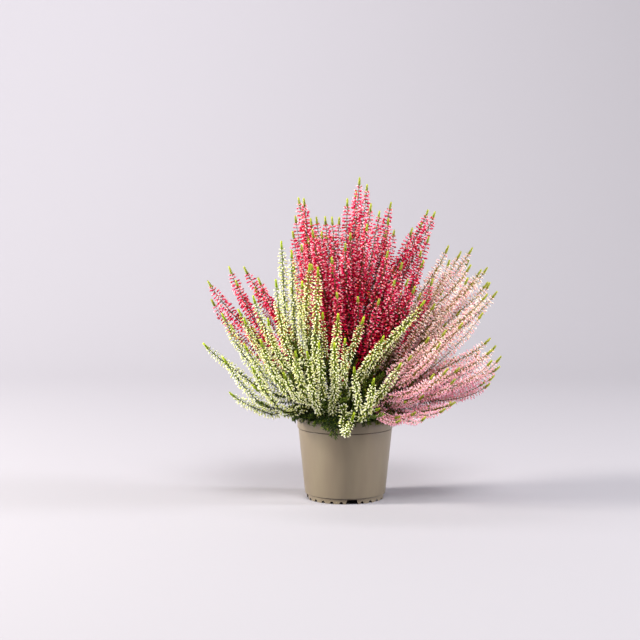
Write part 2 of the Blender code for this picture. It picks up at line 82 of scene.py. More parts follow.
def linear(hexColour):
    # an sRGB hex colour as linear red, green and blue
    parts = [int(hexColour[i:i + 2], 16) / 255 for i in (1, 3, 5)]
    return tuple(c / 12.92 if c <= 0.04045 else ((c + 0.055) / 1.055) ** 2.4 for c in parts)


def setNode(tree, node, settings):
    # each setting is the node's own or an input, and gives it a value, a hex colour or an output
    for key, value in settings.items():
        if isinstance(key, str) and hasattr(node, key):
            setattr(node, key, value)
        elif isinstance(value, bpy.types.NodeSocket):
            tree.links.new(value, node.inputs[key])
        elif isinstance(value, str):
            node.inputs[key].default_value = (*linear(value), 1.0)
        else:
            node.inputs[key].default_value = value


def addNode(tree, kind, settings, output=0):
    node = tree.nodes.new("ShaderNode" + kind)
    setNode(tree, node, settings)
    return node.outputs[output]


def paintOver(tree, colour, layers):
    # lays colours over the first: what drives each, where it starts, where it is full, and its most
    for driver, start, full, most, layer in layers:
        span = {"Value": driver, "From Min": start, "From Max": full, "To Max": most}
        share = addNode(tree, "MapRange", span)
        colour = addNode(tree, "Mix", {"data_type": "RGBA", 0: share, 6: colour, 7: layer}, 2)
    return colour


def newMaterial(name):
    made = bpy.data.materials.new(name)
    made.use_nodes = True
    return made, made.node_tree, made.node_tree.nodes["Principled BSDF"]


def addThing(name, data):
    made = bpy.data.objects.new(name, data)
    bpy.context.collection.objects.link(made)
    return made


def setCamera():
    data = bpy.data.cameras.new("camera")
    data.lens = camera["lens"]
    data.sensor_width = camera["sensor"]
    data.clip_end = 30.0
    made = addThing("camera", data)
    made.location = [c * mm for c in camera["at"]]
    made.rotation_euler = (math.radians(90.0 - camera["lookDown"]), 0.0, 0.0)
    bpy.context.scene.camera = made


def setLamps():
    for name, lamp in lamps.items():
        aim = Vector(lamp.get("aim", (*potAt, studio["aimHeight"]))) * mm
        data = bpy.data.lights.new(name, "AREA")
        data.shape = "RECTANGLE"
        data.size, data.size_y = (side * mm for side in lamp["size"])
        data.energy = lamp["power"]
        data.color = linear(lamp["colour"])
        made = addThing(name, data)
        made.location = [c * mm for c in lamp["at"]]
        made.rotation_euler = (aim - made.location).to_track_quat("-Z", "Y").to_euler()
    world = bpy.data.worlds.new("studio")
    world.use_nodes = True
    sky = {"Color": studio["world"], "Strength": studio["worldStrength"]}
    setNode(world.node_tree, world.node_tree.nodes["Background"], sky)
    bpy.context.scene.world = world
    bpy.context.scene.view_settings.view_transform = "Standard"


def makeBackdrop():
    # a sheet of pale paper that runs back along the floor and sweeps up behind the plant
    bm = bmesh.new()
    radius, depth = studio["sweepRadius"], studio["floorDepth"]
    profile = [(-studio["toCamera"], 0.0), (depth, 0.0)]
    for turn in np.linspace(0.0, math.pi / 2, studio["sweepSteps"] + 1)[1:]:
        profile.append((depth + radius * math.sin(turn), radius * (1.0 - math.cos(turn))))
    profile.append((depth + radius, studio["height"]))
    half = studio["halfWidth"]
    verts = [bm.verts.new((-half * mm, y * mm, z * mm)) for y, z in profile]
    edges = [bm.edges.new(pair) for pair in zip(verts, verts[1:])]
    out = bmesh.ops.extrude_edge_only(bm, edges=edges)["geom"]
    moved = [g for g in out if isinstance(g, bmesh.types.BMVert)]
    bmesh.ops.translate(bm, verts=moved, vec=(2 * half * mm, 0, 0))
    for face in bm.faces:
        face.smooth = True
        if face.normal.z < 0 or face.normal.y > 0:
            face.normal_flip()
    paper, tree, shader = newMaterial("matt_backdrop_paper")
    setNode(tree, shader, {"Base Color": studio["paper"], "Roughness": 0.85, "Specular IOR Level": 0.25})
    mesh = bpy.data.meshes.new("backdrop")
    bm.to_mesh(mesh)
    bm.free()
    mesh.materials.append(paper)
    addThing("backdrop", mesh)


# The pot and the peat

pot = {
    "rimR": 60.0,
    "rimZ": 103.5,
    "collarZ": 89.5,
    "collarStep": 1.1,
    "grooveH": 1.5,  # the dark line under the collar
    "grooveDeep": 0.6,
    "wall": 1.3,
    "bodyFootR": 50.3,
    "footR": 47.6,
    "footStepZ": 6.8,
    "floorZ": 7.0,
    "floorRings": [(5.0, 5.6, 7.0, 7.6, 0.5), (30.0, 30.5, 31.3, 31.8, 0.4)],  # radii and depth of each
    "paintedShadeLines": [(6.1, 7.3), (88.13, 89.37)],  # heights of the painted shade at the step of the foot and in the groove
    "paintedShadeEdge": 0.09,
    "sides": 128,
    "slotTurn": 9.5,  # degrees from the front to the first drain slot
    "slots": 4,
    "slotW": 16.0,
    "slotTopW": 12.0,
    "slotH": 5.6,
    "notches": 5,  # between two slots
    "notchStep": 14.5,
    "notchR": 2.3,
    "drainW": 7.0,
    "drainFromR": 36.0,
}
peat = {
    "z": 88.0,
    "crown": 1.6,  # how much higher its middle is
    "socketDepth": 13.0,  # how deep the stems stand in it
    "sides": 96,
    "rings": 26,
    "crumbs": 220,
    "crumbR": (0.7, 2.2),
    "crumbStretch": (0.72, 1.18),
    "lumps": 1.1,  # how far the surface rises and falls
}


def addObject(name, bm, materials):
    # from millimetres round the pot's axis to the frame
    place = Matrix.Scale(mm, 4) @ Matrix.Translation((*potAt, 0.0))
    bmesh.ops.transform(bm, matrix=place, verts=bm.verts)
    mesh = bpy.data.meshes.new(name)
    bm.to_mesh(mesh)
    bm.free()
    for one in materials:
        mesh.materials.append(one)
    return addThing(name, mesh)


def turned(outline, sides):
    # spin an outline of (radius, height) points, from axis to axis, into a closed solid
    bm = bmesh.new()
    verts = [bm.verts.new((r, 0.0, z)) for r, z in outline]
    edges = [bm.edges.new(pair) for pair in zip(verts, verts[1:])]
    bmesh.ops.spin(
        bm,
        geom=verts + edges,
        cent=(0, 0, 0),
        axis=(0, 0, 1),
        angle=2 * math.pi,
        steps=sides,
        use_merge=True,
    )
    bmesh.ops.remove_doubles(bm, verts=bm.verts, dist=0.001)
    bmesh.ops.recalc_face_normals(bm, faces=bm.faces)
    return bm


def bodyR(z):
    # the pot's outer radius between its foot and its collar
    share = (z - pot["footStepZ"]) / (pot["collarZ"] - pot["footStepZ"])
    top = pot["rimR"] - 0.3 - pot["collarStep"]
    return pot["bodyFootR"] + share * (top - pot["bodyFootR"])


def rounded(a, corner, b, radius, steps=4):
    # points of a small arc that takes the edge off a corner between two straight runs
    a, corner, b = (np.array(p, float) for p in (a, corner, b))
    into, out = a - corner, b - corner
    start = corner + into / np.linalg.norm(into) * radius
    end = corner + out / np.linalg.norm(out) * radius
    marks = np.linspace(0.0, 1.0, steps + 1)
    return [tuple((1 - t) ** 2 * start + 2 * t * (1 - t) * corner + t * t * end) for t in marks]


def addPrism(bm, corners, nearR, farR, degrees):
    # a prism whose (across, up) face runs out from the axis, turned so far to the right of front
    verts = [bm.verts.new((x, -nearR, z)) for x, z in corners]
    face = bm.faces.new(verts)
    out = bmesh.ops.extrude_face_region(bm, geom=[face])["geom"]
    moved = [g for g in out if isinstance(g, bmesh.types.BMVert)]
    bmesh.ops.translate(bm, verts=moved, vec=(0, nearR - farR, 0))
    turn = Matrix.Rotation(math.radians(degrees), 4, "Z")
    bmesh.ops.transform(bm, matrix=turn, verts=verts + moved)


def drainCutter():
    # four slots through the foot ring, a drain hole inside each, and small notches between them
    bm = bmesh.new()
    inR = pot["footR"] - pot["wall"] - 2.0
    outR = pot["footR"] + 3.0
    half, topHalf, high = pot["slotW"] / 2, pot["slotTopW"] / 2, pot["slotH"]
    drain = pot["drainW"] / 2
    r = pot["notchR"]
    arch = [(-r, -1.0), (r, -1.0), (r, 1.0)]
    arch += [(r * math.cos(t), 1.0 + 2.2 * math.sin(t)) for t in np.radians([30, 60, 90, 120, 150])]
    arch += [(-r, 1.0)]
    first = 180.0 / pot["slots"] - pot["notchStep"] * (pot["notches"] - 1) / 2
    for slot in range(pot["slots"]):
        turn = pot["slotTurn"] + slot * 360.0 / pot["slots"]
        addPrism(bm, [(-half, -1), (half, -1), (topHalf, high), (-topHalf, high)], inR, outR, turn)
        low, top = pot["floorZ"] - 1.0, pot["floorZ"] + 3.0
        addPrism(bm, [(-drain, low), (drain, low), (drain, top), (-drain, top)],
                 pot["drainFromR"], inR - 0.5, turn)
        for notch in range(pot["notches"]):
            addPrism(bm, arch, inR, outR, turn + first + notch * pot["notchStep"])
    bmesh.ops.recalc_face_normals(bm, faces=bm.faces)
    return addObject("drain_cutter", bm, [])


def polypropylene():
    # injection-moulded polypropylene, taupe: a satin skin with faint flow streaks and a fine orange
    # peel, dust, and painted shade in the groove under the collar and on the step of the foot
    made, tree, shader = newMaterial("moulded_taupe_polypropylene")
    at = addNode(tree, "TexCoord", {}, "Object")
    streaks = addNode(tree, "Mapping", {"Scale": (60.0, 60.0, 9.0), "Vector": at})  # 17 by 110 mm
    flow = addNode(tree, "TexNoise", {"Scale": 1.0, "Detail": 3.0, "Vector": streaks})
    dust = addNode(tree, "TexNoise", {"Scale": 55.0, "Detail": 6.0, "Roughness": 0.7, "Vector": at})
    layers = [(flow, 0.35, 0.65, 1.0, "#7B6F5B"), (dust, 0.62, 0.75, 0.25, "#8C806D")]
    height = addNode(tree, "SeparateXYZ", {"Vector": at}, "Z")
    edge = pot["paintedShadeEdge"] * mm
    # painted shade: a dark brown band in the groove under the collar and on the step of the foot, standing
    # in for the shadow cast by the overhangs
    for low, high in pot["paintedShadeLines"]:
        line = 1.0
        for z, soft in ((low * mm, edge), (high * mm, -edge)):
            span = {"Value": height, "From Min": z - soft, "From Max": z + soft}
            side = addNode(tree, "MapRange", span)
            line = addNode(tree, "Math", {"operation": "MULTIPLY", 0: side, 1: line})
        layers.append((line, 0.0, 1.0, 1.0, "#473B2E"))
    peel = addNode(tree, "TexNoise", {"Scale": 900.0, "Detail": 1.0, "Vector": at})  # grain about 1 mm
    setNode(tree, shader, {
        "Base Color": paintOver(tree, "#766957", layers),
        "Roughness": addNode(tree, "MapRange", {"Value": dust, "To Min": 0.36, "To Max": 0.46}),
        "IOR": 1.49,
        "Normal": addNode(tree, "Bump", {"Strength": 0.06, "Distance": 0.0004, "Height": peel}),
    })
    return made


def makePot():
    wall, rimR, rimZ, collarZ = pot["wall"], pot["rimR"], pot["rimZ"], pot["collarZ"]
    stepZ, floorZ, footR = pot["footStepZ"], pot["floorZ"], pot["footR"]
    floorTop = floorZ + wall
    inRim = (rimR - wall, rimZ)
    inCollar = (rimR - wall - 0.3, collarZ + 1.0)
    bodyFoot = (bodyR(stepZ) - 0.3, stepZ)
    outline = [(0.0, floorZ)]
    for a, b, c, d, deep in pot["floorRings"]:
        outline += [(a, floorZ), (b, floorZ - deep), (c, floorZ - deep), (d, floorZ)]
    outline += rounded(outline[-1], (footR - wall, floorZ), (footR - wall, 0.0), 0.8)
    outline += [(footR - wall, 0.25), (footR - wall + 0.25, 0.0), (footR - 0.25, 0.0), (footR, 0.25)]
    outline += rounded((footR, 0.25), (footR + 0.4, stepZ), bodyFoot, 0.3)
    outline += rounded((footR + 1.2, stepZ), bodyFoot, (bodyR(stepZ + 3), stepZ + 3.0), 0.7)
    grooveZ, grooveR = collarZ - pot["grooveH"], bodyR(collarZ) - pot["grooveDeep"]
    outline += rounded((bodyR(70), 70.0), (bodyR(grooveZ), grooveZ), (grooveR, grooveZ + 0.3), 0.25)
    outline += [(grooveR, grooveZ + 0.4), (grooveR, collarZ)]
    outline += rounded((grooveR + 0.2, collarZ), (rimR - 0.3, collarZ), (rimR, rimZ), 0.3)
    outline += rounded((rimR - 0.3, collarZ), (rimR, rimZ), inRim, 0.6)
    outline += rounded((rimR, rimZ), inRim, inCollar, 0.5)
    outline += [inCollar, (bodyR(collarZ) - wall, collarZ - 1.0)]
    outline += [(bodyR(floorTop + 2.0) - wall, floorTop + 2.0)]
    outline += [(bodyR(floorTop) - wall - 2.0, floorTop), (0.0, floorTop)]
    made = addObject("pot_shell", turned(outline, pot["sides"]), [polypropylene()])
    cutter = drainCutter()
    cut = made.modifiers.new("drain", "BOOLEAN")
    cut.operation = "DIFFERENCE"
    cut.solver = "EXACT"
    cut.object = cutter
    whole = bpy.data.meshes.new_from_object(made.evaluated_get(bpy.context.evaluated_depsgraph_get()))
    made.modifiers.clear()
    made.data = whole
    bpy.data.objects.remove(cutter, do_unlink=True)
    made.data.shade_smooth()
    made.data.set_sharp_from_angle(angle=math.radians(32))
    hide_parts("pot")
    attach(made, "root")
    print("pot made")


def peatZ(x, y):
    # the height of the peat, a low dome
    return peat["z"] + peat["crown"] * (1.0 - (x * x + y * y) / (pot["rimR"] * pot["rimR"]))


def sphagnumPeat():
    # milled sphagnum peat, moist: near black brown and dead matt, with crumbs of 2 to 3 mm and paler fibres
    made, tree, shader = newMaterial("moist_milled_peat")
    at = addNode(tree, "TexCoord", {}, "Object")
    crumb = addNode(tree, "TexNoise", {"Scale": 380.0, "Detail": 8.0, "Roughness": 0.75, "Vector": at})
    layers = [
        (crumb, 0.3, 0.52, 1.0, "#35251A"),
        (crumb, 0.52, 0.66, 1.0, "#4E3825"),
        (crumb, 0.66, 0.78, 1.0, "#7A5E3E"),
    ]
    setNode(tree, shader, {
        "Base Color": paintOver(tree, "#1C130C", layers),
        "Roughness": 0.95,
        "Specular IOR Level": 0.3,
        "Normal": addNode(tree, "Bump", {"Strength": 0.8, "Distance": 0.0012, "Height": crumb}),
    })
    return made


def makePeat():
    rng = np.random.default_rng(31)
    floorTop = pot["floorZ"] + pot["wall"]
    edgeR = bodyR(peat["z"]) - pot["wall"] - 0.7
    low = floorTop + 0.4
    outline = [(0.0, low), (bodyR(low) - pot["wall"] - 1.8, low)]
    outline += [(bodyR(low + 2) - pot["wall"] - 0.7, low + 2), (edgeR, peatZ(edgeR, 0.0) - 1.2)]
    outline += [(r, peatZ(r, 0.0)) for r in np.linspace(edgeR - 0.6, 0.0, peat["rings"])]
    bm = turned(outline, peat["sides"])
    for v in bm.verts:
        r = math.hypot(v.co.x, v.co.y)
        if v.co.z > peat["z"] - 3.0 and r < edgeR - 0.5:
            wave = math.sin(v.co.x * 0.31 + 1.3) * math.cos(v.co.y * 0.27) + rng.uniform(-0.8, 0.8)
            v.co.z += peat["lumps"] * 0.5 * wave - 0.6
    for _ in range(peat["crumbs"]):
        r = (edgeR - 3.0) * math.sqrt(rng.uniform())
        turn = rng.uniform(0.0, 2 * math.pi)
        size = rng.uniform(*peat["crumbR"])
        x, y = r * math.cos(turn), r * math.sin(turn)
        made = bmesh.ops.create_icosphere(bm, subdivisions=1, radius=size)
        for v in made["verts"]:
            v.co *= rng.uniform(*peat["crumbStretch"])
        place = Matrix.Translation((x, y, peatZ(x, y) - 0.4 * size))
        place = place @ Matrix.Rotation(rng.uniform(0, 6.3), 4, "X") @ Matrix.Scale(0.65, 4, (0, 0, 1))
        bmesh.ops.transform(bm, matrix=place, verts=made["verts"])
    made = addObject("peat_surface", bm, [sphagnumPeat()])
    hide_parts("soil")
    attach(made, "root")
    print("peat made")


# How the sprays grow. Each spray in the lists is the tip of its spike, a point on it where its buds
# begin, and the tip of its side spike if it forks, as (right, back, up) from the pot's axis.

growth = {
    "seed": 12,
    "leafyFrom": 12.0,  # bare wood above the peat
    "leafyReach": 5.2,
    "leafyShare": 0.62,  # of the way up to the spike that is leaves alone
    "stemR": 1.9,
    "tipLength": 13.0,
    "forkAt": 0.8,  # of the way up to the spike, where a side spike leaves
    "forkBare": 16.0,
    "forkLeafy": 8.0,
    "curlUp": 0.38,
    "footSpread": 0.24,
    "feetMaxR": 45.0,
    "feetApart": 6.4,
    "feetRounds": 400,
    "rimRoom": 8.0,
    "wallRoom": 2.8,
    "clear": 0.7,  # kept between two shoots
    "near": 26.0,
    "mostMove": 2.5,
    "sample": 6.0,  # between two points of a stem's line
    "curveSteps": 40,
    "settleRounds": 220,
    "firmRounds": 80,
    "ease": 0.25,
    "easeFirm": 0.08,
}
whiteSprays = [
    ((-78, -30, 324), (-67, -28, 214), (-67, -48, 314)),
    ((-44, -52, 298), (-49, -42, 215), None),
    ((-34, -78, 296), (-31, -50, 130), None),
    ((-85, -66, 280), (-71, -46, 186), None),
    ((-113, -52, 259), (-87, -36, 190), None),
    ((-8, -88, 241), (-11, -58, 162), (20, -80, 236)),
    ((95, -72, 255), (32, -50, 177), None),
    ((45, -98, 215), (17, -60, 162), None),
    ((65, -108, 184), (32, -66, 130), None),
    ((31, -120, 168), (17, -72, 114), (10, -112, 179)),
    ((8, -96, 122), (-3, -79, 92), None),
    ((-45, -102, 198), (-29, -56, 121), (-35, -86, 205)),
    ((-14, -110, 208), (-14, -58, 119), None),
    ((-62, -106, 196), (-49, -56, 125), (-74, -104, 173)),
    ((-105, -86, 209), (-75, -48, 132), (-122, -68, 201)),
    ((-113, -100, 179), (-75, -50, 118), None),
    ((-174, -42, 201), (-103, -30, 146), (-153, -22, 234)),
    ((-141, -80, 147), (-90, -46, 115), (-150, -60, 184)),
    ((-133, -14, 239), (-96, -14, 181), None),
]
redSprays = [
    ((18, 10, 400), (8, 8, 266), (26, -6, 392)),
    ((2, -12, 375), (-1, -4, 261), None),
    ((32, -24, 369), (18, -12, 262), (40, -34, 361)),
    ((57, 16, 369), (31, 12, 259), (50, -4, 335)),
    ((-17, -18, 353), (-9, -8, 249), (-25, 4, 352)),
    ((-41, -28, 338), (-22, -14, 237), (-43, 0, 350)),
    ((-58, 34, 374), (-29, 24, 246), (-49, 16, 374)),
    ((83, 2, 338), (43, 4, 241), None),
    ((104, 28, 359), (50, 20, 246), (113, 44, 356)),
    ((-171, 10, 272), (-104, 10, 191), (-146, 24, 288)),
    ((-126, 0, 290), (-69, 2, 204), (-108, -16, 278)),
    ((-2, -44, 322), (-1, -26, 222), (-16, -50, 306)),
    ((52, -42, 312), (30, -22, 214), (68, -34, 298)),
    ((96, -26, 300), (52, -14, 208), (84, -44, 270)),
]
pinkSprays = [
    ((128, 0, 316), (70, -4, 211), (144, 14, 308)),
    ((160, 36, 311), (84, 22, 214), None),
    ((154, -22, 294), (80, -14, 200), (168, -6, 287)),
    ((178, 22, 287), (93, 10, 197), (177, 2, 271)),
    ((173, -44, 260), (89, -24, 176), (186, -26, 262)),
    ((176, -54, 207), (98, -32, 152), None),
    ((177, -74, 196), (93, -42, 139), None),
    ((189, -42, 171), (104, -28, 127), None),
    ((122, -98, 175), (69, -54, 121), None),
    ((132, -86, 134), (76, -54, 114), None),
    ((85, -92, 122), (59, -62, 105), None),
    ((121, -78, 220), (66, -42, 148), None),
]
varieties = {
    "white": {
        "crown": (-18.0, -20.0),
        "sprays": whiteSprays,
        "behind": {"count": 2, "arc": (140, 178), "reach": (80, 124), "up": (180, 262)},
        "reach": 7.4,
        "slot": "white_florets",
    },
    "red": {
        "crown": (-2.0, 20.0),
        "sprays": redSprays,
        "behind": {"count": 7, "arc": (28, 156), "reach": (48, 138), "up": (205, 352)},
        "reach": 6.4,
        "slot": "crimson_florets",
    },
    "pink": {
        "crown": (24.0, -8.0),
        "sprays": pinkSprays,
        "behind": {"count": 4, "arc": (14, 60), "reach": (96, 160), "up": (160, 268)},
        "reach": 5.6,
        "slot": "pink_florets",
    },
}


def unit(v):
    return v / max(np.linalg.norm(v), 1e-9)


def hermite(a, b, alongA, alongB):
    t = np.linspace(0.0, 1.0, growth["curveSteps"])[:, None]
    return (
        (2 * t**3 - 3 * t**2 + 1) * a
        + (t**3 - 2 * t**2 + t) * alongA
        + (-2 * t**3 + 3 * t**2) * b
        + (t**3 - t**2) * alongB
    )


def lengths(points):
    return np.concatenate([[0.0], np.cumsum(np.linalg.norm(np.diff(points, axis=0), axis=1))])


def evenly(points, spacing):
    far = lengths(points)
    count = max(4, int(round(far[-1] / spacing)) + 1)
    marks = np.linspace(0.0, far[-1], count)
    return np.stack([np.interp(marks, far, points[:, k]) for k in range(3)], axis=1)


def growBehind(rule, crown, rng):
    # sprays on the side away from the front, in turn tall and low, in the lists' form
    made = []
    for i in range(rule["count"]):
        share = (i + 0.5) / rule["count"]
        degrees = rule["arc"][0] + share * (rule["arc"][1] - rule["arc"][0])
        turn = math.radians(degrees + rng.uniform(-4, 4))
        high = (0.7 if i % 2 == 0 else 0.0) + rng.uniform(0.0, 0.3)
        rise = rule["up"][0] + high * (rule["up"][1] - rule["up"][0])
        reach = rule["reach"][1] - high * (rule["reach"][1] - rule["reach"][0])
        tip = np.array([reach * math.cos(turn), reach * math.sin(turn), rise])
        lowXY = tip[:2] * 0.5 + np.array(crown) * 0.2
        low = np.array([*lowXY, peat["z"] + 0.46 * (rise - peat["z"])])
        aside = turn + rng.choice([-1.0, 1.0]) * rng.uniform(0.12, 0.2)
        sideUp = rise - rng.uniform(14.0, 34.0)
        sideReach = 0.94 * reach
        side = np.array([sideReach * math.cos(aside), sideReach * math.sin(aside), sideUp])
        made.append((tip, low, side))
    return made


def allSprays():
    rng = np.random.default_rng(growth["seed"])
    sprays = []
    for name, variety in varieties.items():
        listed = variety["sprays"] + growBehind(variety["behind"], variety["crown"], rng)
        for number, (tip, low, side) in enumerate(listed, start=1):
            side = None if side is None else np.array(side, float)
            node = f"{name}_spray_{number:02d}"
            sprays.append((name, node, np.array(tip, float), np.array(low, float), side))
    return sprays


def placeFeet(sprays):
    # where the stems stand in the peat: near their crown, towards their lean, not touching
    feet = []
    for name, _, _, low, _ in sprays:
        crown = np.array(varieties[name]["crown"])
        feet.append(crown + growth["footSpread"] * (low[:2] - crown))
    feet = np.array(feet)
    for _ in range(growth["feetRounds"]):
        apart = feet[:, None] - feet[None]
        far = np.linalg.norm(apart, axis=2) + np.eye(len(feet)) * 1e3
        push = np.clip(growth["feetApart"] - far, 0.0, None) / far
        feet += 0.3 * (apart * push[:, :, None]).sum(axis=1)
        out = np.linalg.norm(feet, axis=1)
        feet *= np.minimum(1.0, growth["feetMaxR"] / np.maximum(out, 1e-6))[:, None]
    return feet


def overRim(base, low, reach):
    start, end = np.linalg.norm(base[:2]), np.linalg.norm(low[:2])
    if end <= pot["rimR"]:
        return None
    crossing = base + (pot["rimR"] - start) / (end - start) * (low - base)
    need = pot["rimZ"] + reach + growth["rimRoom"]
    if crossing[2] >= need:
        return None
    return np.array([*(unit(crossing[:2]) * pot["rimR"]), need])


def mainLine(base, low, tip, reach):
    # a stem's curve: up from the peat, over the rim if it is low, curving upwards to its tip
    first, second = np.linalg.norm(low - base), np.linalg.norm(tip - low)
    lean = unit(low - base)
    through = unit(lean * second + unit(tip - low) * first)
    over = overRim(base, low, reach)
    if over is None:
        lower = hermite(base, low, unit(up + 0.7 * lean) * first, through * first)
    else:
        upLeg, downLeg = np.linalg.norm(over - base), np.linalg.norm(low - over)
        level = lean + 0.15 * up
        rise = hermite(base, over, unit(up + 0.2 * lean) * upLeg, level * upLeg)
        fall = hermite(over, low, level * downLeg, through * downLeg)
        lower = np.concatenate([rise, fall[1:]])
    arrive = unit(unit(tip - low) + growth["curlUp"] * up)
    upper = hermite(low, tip, through * second, arrive * second)
    return evenly(np.concatenate([lower, upper[1:]]), growth["sample"]), lengths(lower)[-1]


def sideLine(points, fork, side):
    start = points[fork]
    span = np.linalg.norm(side - start)
    leave = unit(unit(points[fork + 1] - start) + 0.55 * unit(side - start)) * span
    arrive = unit(unit(side - start) + growth["curlUp"] * up) * span
    return evenly(hermite(start, side, leave, arrive), growth["sample"])


def reachAlong(shoot):
    # the radius of a shoot's outline at each of its points
    far = lengths(shoot["points"])
    full = varieties[shoot["variety"]]["reach"]
    bare = growth["leafyFrom"] if shoot["main"] is None else growth["forkBare"]
    end, stem, leafyReach = far[-1], growth["stemR"], growth["leafyReach"]
    tip = end - growth["tipLength"]
    leafy = np.interp(far, [0.0, bare * 0.6, bare + 6.0], [stem, stem, leafyReach])
    leafy = np.where(far > tip, 0.0, leafy)
    marks = [shoot["from"] - 8.0, shoot["from"] - 1.0, tip - 20.0, tip, end]
    return np.maximum(leafy, np.interp(far, marks, [0.0, full, full * 0.92, full * 0.7, 1.0]))


def planShoots():
    sprays = allSprays()
    shoots = []

    def add(name, node, points, budsFrom, main):
        shoots.append({"variety": name, "node": node, "points": points, "from": budsFrom, "main": main})

    for (name, node, tip, low, side), foot in zip(sprays, placeFeet(sprays)):
        base = np.array([foot[0], foot[1], peatZ(*foot)])
        points, lowerLength = mainLine(base, low, tip, varieties[name]["reach"])
        add(name, node, points, lowerLength * growth["leafyShare"], None)
        if side is not None:
            share = lowerLength * growth["forkAt"] / lengths(points)[-1]
            fork = int(round(share * (len(points) - 1)))
            branch = sideLine(points, fork, side)
            add(name, node, branch, growth["forkBare"] + growth["forkLeafy"], (len(shoots) - 1, fork))
    for shoot in shoots:
        shoot["reach"] = reachAlong(shoot)
    return shoots


def keepClearOfPot(points, reach, loose):
    flat = np.linalg.norm(points[:, :2], axis=1)
    out = points[:, :2] / np.maximum(flat, 1e-6)[:, None]
    wallR = pot["rimR"] - pot["wall"] / 2
    dr = flat - wallR
    dz = np.maximum(points[:, 2] - pot["rimZ"], 0.0)
    far = np.maximum(np.hypot(dr, dz), 1e-6)
    push = np.clip(reach + pot["wall"] / 2 + growth["wallRoom"] - far, 0.0, None) * loose
    points[:, :2] += out * (push * dr / far)[:, None]
    points[:, 2] += push * dz / far
    lowest = peat["z"] + peat["crown"] + reach + 0.6
    lift = np.clip(lowest - points[:, 2], 0.0, None) * loose * (flat < wallR)
    points[:, 2] += np.minimum(lift, 1.0)


def closePairs(points, owner, place, parent):
    single = points.astype(np.float32)
    apart = np.linalg.norm(single[:, None] - single[None], axis=2)
    first, second = np.nonzero(np.triu(apart < growth["near"], 1))
    ofSecond = parent[owner[first]] == owner[second]
    ofFirst = parent[owner[second]] == owner[first]
    branchPlace = np.where(ofSecond, place[first], place[second])
    skip = (owner[first] == owner[second]) | ((ofSecond | ofFirst) & (branchPlace < 5))
    return first[~skip], second[~skip]


def pushApart(points, reach, loose, first, second):
    gap = points[first] - points[second]
    far = np.maximum(np.linalg.norm(gap, axis=1), 1e-6)
    over = np.clip(reach[first] + reach[second] + growth["clear"] - far, 0.0, None)
    push = gap / far[:, None] * (over * 0.55)[:, None]
    give = loose[first] + loose[second] + 1e-6
    moved = np.zeros_like(points)
    np.add.at(moved, first, push * (loose[first] / give)[:, None])
    np.add.at(moved, second, -push * (loose[second] / give)[:, None])
    size = np.linalg.norm(moved, axis=1)
    points += moved * np.minimum(1.0, growth["mostMove"] / np.maximum(size, 1e-6))[:, None]


def settle(shoots):
    # the shoots push each other aside until their outlines are clear of one another
    starts = np.cumsum([0] + [len(s["points"]) for s in shoots])
    points = np.concatenate([s["points"] for s in shoots])
    rest = points.copy()
    reach = np.concatenate([s["reach"] for s in shoots])
    owner = np.repeat(np.arange(len(shoots)), np.diff(starts))
    place = np.concatenate([np.arange(len(s["points"])) for s in shoots])
    loose = np.clip((place - 1.0) / 3.0, 0.0, 1.0)
    parent = np.array([s["main"][0] if s["main"] else -1 for s in shoots])
    forkAt = [starts[s["main"][0]] + s["main"][1] if s["main"] else None for s in shoots]
    rounds = growth["settleRounds"]
    for turn in range(rounds):
        if turn % 20 == 0:
            first, second = closePairs(points, owner, place, parent)
        pushApart(points, reach, loose, first, second)
        keepClearOfPot(points, reach, loose)
        drift = points - rest
        ease = growth["ease"] if turn < rounds - growth["firmRounds"] else growth["easeFirm"]
        for a, b, fork in zip(starts, starts[1:], forkAt):
            part = drift[a:b]
            part[0] = 0.0 if fork is None else drift[fork]
            soft = part.copy()
            soft[1:-1] += ease * (part[:-2] - 2.0 * part[1:-1] + part[2:])
            soft[-1] += 2.0 * ease * (part[-2] - part[-1])
            drift[a:b] = soft
        points = rest + drift
    for shoot, a, b in zip(shoots, starts, starts[1:]):
        shoot["points"] = points[a:b]


def crossFrames(points):
    # a steady pair of cross directions at each point of a line, carried along without twist
    along = np.gradient(points, axis=0)
    along /= np.linalg.norm(along, axis=1)[:, None]
    across = [unit(np.cross(along[0], [0.3, 1.0, 0.1]))]
    for direction in along[1:]:
        across.append(unit(across[-1] - direction * np.dot(across[-1], direction)))
    across = np.array(across)
    return along, across, np.cross(along, across)
